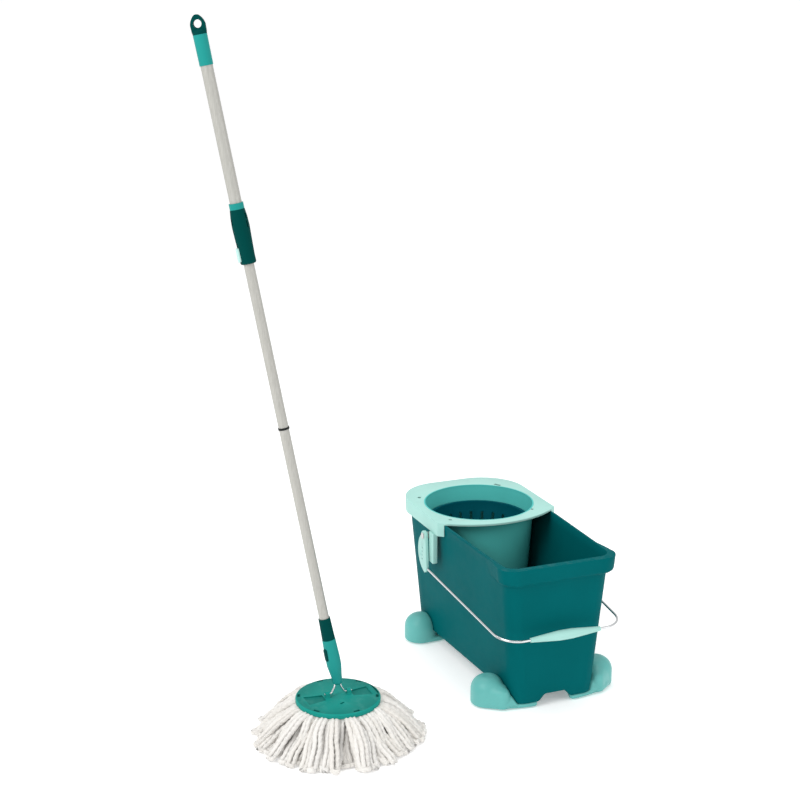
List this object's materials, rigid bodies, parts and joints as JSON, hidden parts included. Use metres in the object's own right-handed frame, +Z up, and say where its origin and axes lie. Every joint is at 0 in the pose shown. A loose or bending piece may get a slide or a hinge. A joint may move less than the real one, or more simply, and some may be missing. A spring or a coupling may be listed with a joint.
{
  "type": "spin mop",
  "caption": "Twist mop with a grooved-spindle handle and yarn fringe, with its rolling bucket that holds a lift-out collar, funnel and spinning basket.",
  "frame": {"origin": "on the floor, under the middle of the whole set's box", "axes": "+Z up, +X the way the bucket rolls (its pouring end), +Y to its left; the mop stands at the bucket's right"},
  "size_m": [0.653, 0.8147, 1.3469],
  "materials": {
    "tub_plastic": "moulded teal plastic, satin gloss",
    "basket_plastic": "dark teal moulded plastic",
    "mint_plastic": "pale mint moulded plastic",
    "funnel_plastic": "mint moulded plastic",
    "housing_plastic": "mint moulded plastic",
    "disc_plastic": "green moulded plastic",
    "sleeve_plastic": "mint green moulded plastic",
    "slider_plastic": "pale mint moulded plastic",
    "dark_plastic": "dark green moulded plastic",
    "black_plastic": "black moulded plastic",
    "ring_plastic": "off-white moulded plastic",
    "wheel_plastic": "dark grey wheel",
    "fork_plastic": "pale grey moulded plastic",
    "tube_metal": "satin warm grey tube",
    "steel": "plain steel",
    "chrome_wire": "bright chromed wire",
    "fringe_yarn": "off-white twisted yarn loops"
  },
  "bodies": {
    "bucket": {"tub": "tub_plastic", "pivot_pins": "steel", "castor_housing_front_right": "housing_plastic", "castor_housing_front_left": "housing_plastic", "castor_housing_rear_right": "housing_plastic", "castor_housing_rear_left": "housing_plastic"},
    "insert": {"collar": "mint_plastic", "collar_clips": "mint_plastic", "funnel": "funnel_plastic", "basket_pin": "steel", "thrust_washer": "black_plastic"},
    "basket": {"spin_basket": "basket_plastic"},
    "bail": {"bail_wire": "chrome_wire", "bail_grip": "mint_plastic", "bail_ear_left": "mint_plastic", "bail_ear_right": "mint_plastic"},
    "castor_front_right": {"castor_fork_front_right": "fork_plastic", "castor_axle_front_right": "steel"},
    "wheel_front_right": {"castor_wheel_front_right": "wheel_plastic"},
    "castor_front_left": {"castor_fork_front_left": "fork_plastic", "castor_axle_front_left": "steel"},
    "wheel_front_left": {"castor_wheel_front_left": "wheel_plastic"},
    "castor_rear_right": {"castor_fork_rear_right": "fork_plastic", "castor_axle_rear_right": "steel"},
    "wheel_rear_right": {"castor_wheel_rear_right": "wheel_plastic"},
    "castor_rear_left": {"castor_fork_rear_left": "fork_plastic", "castor_axle_rear_left": "steel"},
    "wheel_rear_left": {"castor_wheel_rear_left": "wheel_plastic"},
    "mop_head": {"mop_disc": "disc_plastic", "mop_ring": "ring_plastic", "fringe": "fringe_yarn"},
    "joint_link": {"joint_wire": "chrome_wire"},
    "lower_shaft": {"joint_foot": "sleeve_plastic", "joint_pin": "steel", "lower_sleeve": "dark_plastic", "lower_tube": "tube_metal", "joint_ring": "black_plastic", "tube_coupler": "black_plastic", "middle_tube": "tube_metal", "drive_nut": "black_plastic", "button_spring": "steel"},
    "button": {"release_button": "dark_plastic"},
    "swivel": {"swivel_bush": "black_plastic"},
    "upper_handle": {"upper_tube": "tube_metal", "lock_grip": "dark_plastic", "lock_ring": "sleeve_plastic", "spindle": "steel", "spindle_holder": "black_plastic", "top_sleeve": "sleeve_plastic", "hanging_cap": "dark_plastic"},
    "lock": {"lock_slider": "slider_plastic"}
  },
  "joints": [
    {"name": "insert_lift", "type": "slide", "parent": "bucket", "child": "insert", "axis": [0, 0, 1], "range_m": [0, 0.25]},
    {"name": "basket_spin", "type": "hinge", "parent": "insert", "child": "basket", "pos_m": [-0.168, 0.254, 0.158], "axis": [0, 0, 1], "continuous": true},
    {"name": "bail_swing", "type": "hinge", "parent": "bucket", "child": "bail", "pos_m": [-0.124, 0.254, 0.268], "axis": [0, -1, 0], "range_deg": [0, 195]},
    {"name": "swivel_front_right", "type": "hinge", "parent": "bucket", "child": "castor_front_right", "pos_m": [0.143, 0.132, 0.045], "axis": [0, 0, 1], "continuous": true},
    {"name": "roll_front_right", "type": "hinge", "parent": "castor_front_right", "child": "wheel_front_right", "pos_m": [0.137, 0.132, 0.012], "axis": [0, 1, 0], "continuous": true},
    {"name": "swivel_front_left", "type": "hinge", "parent": "bucket", "child": "castor_front_left", "pos_m": [0.143, 0.376, 0.045], "axis": [0, 0, 1], "continuous": true},
    {"name": "roll_front_left", "type": "hinge", "parent": "castor_front_left", "child": "wheel_front_left", "pos_m": [0.137, 0.376, 0.012], "axis": [0, 1, 0], "continuous": true},
    {"name": "swivel_rear_right", "type": "hinge", "parent": "bucket", "child": "castor_rear_right", "pos_m": [-0.199, 0.132, 0.045], "axis": [0, 0, 1], "continuous": true},
    {"name": "roll_rear_right", "type": "hinge", "parent": "castor_rear_right", "child": "wheel_rear_right", "pos_m": [-0.205, 0.132, 0.012], "axis": [0, 1, 0], "continuous": true},
    {"name": "swivel_rear_left", "type": "hinge", "parent": "bucket", "child": "castor_rear_left", "pos_m": [-0.199, 0.376, 0.045], "axis": [0, 0, 1], "continuous": true},
    {"name": "roll_rear_left", "type": "hinge", "parent": "castor_rear_left", "child": "wheel_rear_left", "pos_m": [-0.205, 0.376, 0.012], "axis": [0, 1, 0], "continuous": true},
    {"name": "mop_lift", "type": "slide", "parent": "bucket", "child": "mop_head", "axis": [0, 0, 1], "range_m": [0, 0.3]},
    {"name": "wire_tilt", "type": "hinge", "parent": "mop_head", "child": "joint_link", "pos_m": [0.162, -0.1923, 0.0895], "axis": [0, 1, 0], "range_deg": [-39, 51]},
    {"name": "foot_tilt", "type": "hinge", "parent": "joint_link", "child": "lower_shaft", "pos_m": [0.15953, -0.1923, 0.11337], "axis": [0.9947, 0, 0.1028], "range_deg": [-54, 66]},
    {"name": "button_press", "type": "slide", "parent": "lower_shaft", "child": "button", "axis": [-0.323, 0.9388, 0.1195], "range_m": [0, 0.0025], "stiffness_N_per_m": 600, "springref_m": -0.004, "deforming": ["button_spring"]},
    {"name": "twist_spin", "type": "hinge", "parent": "lower_shaft", "child": "swivel", "pos_m": [0.06669, -0.33859, 1.01182], "axis": [-0.1015, -0.1599, 0.9819], "range_deg": [-1080, 0]},
    {"name": "handle_press", "type": "slide", "parent": "swivel", "child": "upper_handle", "axis": [-0.1015, -0.1599, 0.9819], "range_m": [-0.15, 0]},
    {"name": "lock_slide", "type": "slide", "parent": "upper_handle", "child": "lock", "axis": [-0.1015, -0.1599, 0.9819], "range_m": [0, 0.008]}
  ],
  "couplings": [
    {"joint": "twist_spin", "follows": "handle_press", "rad_per_m": 125.66}
  ]
}
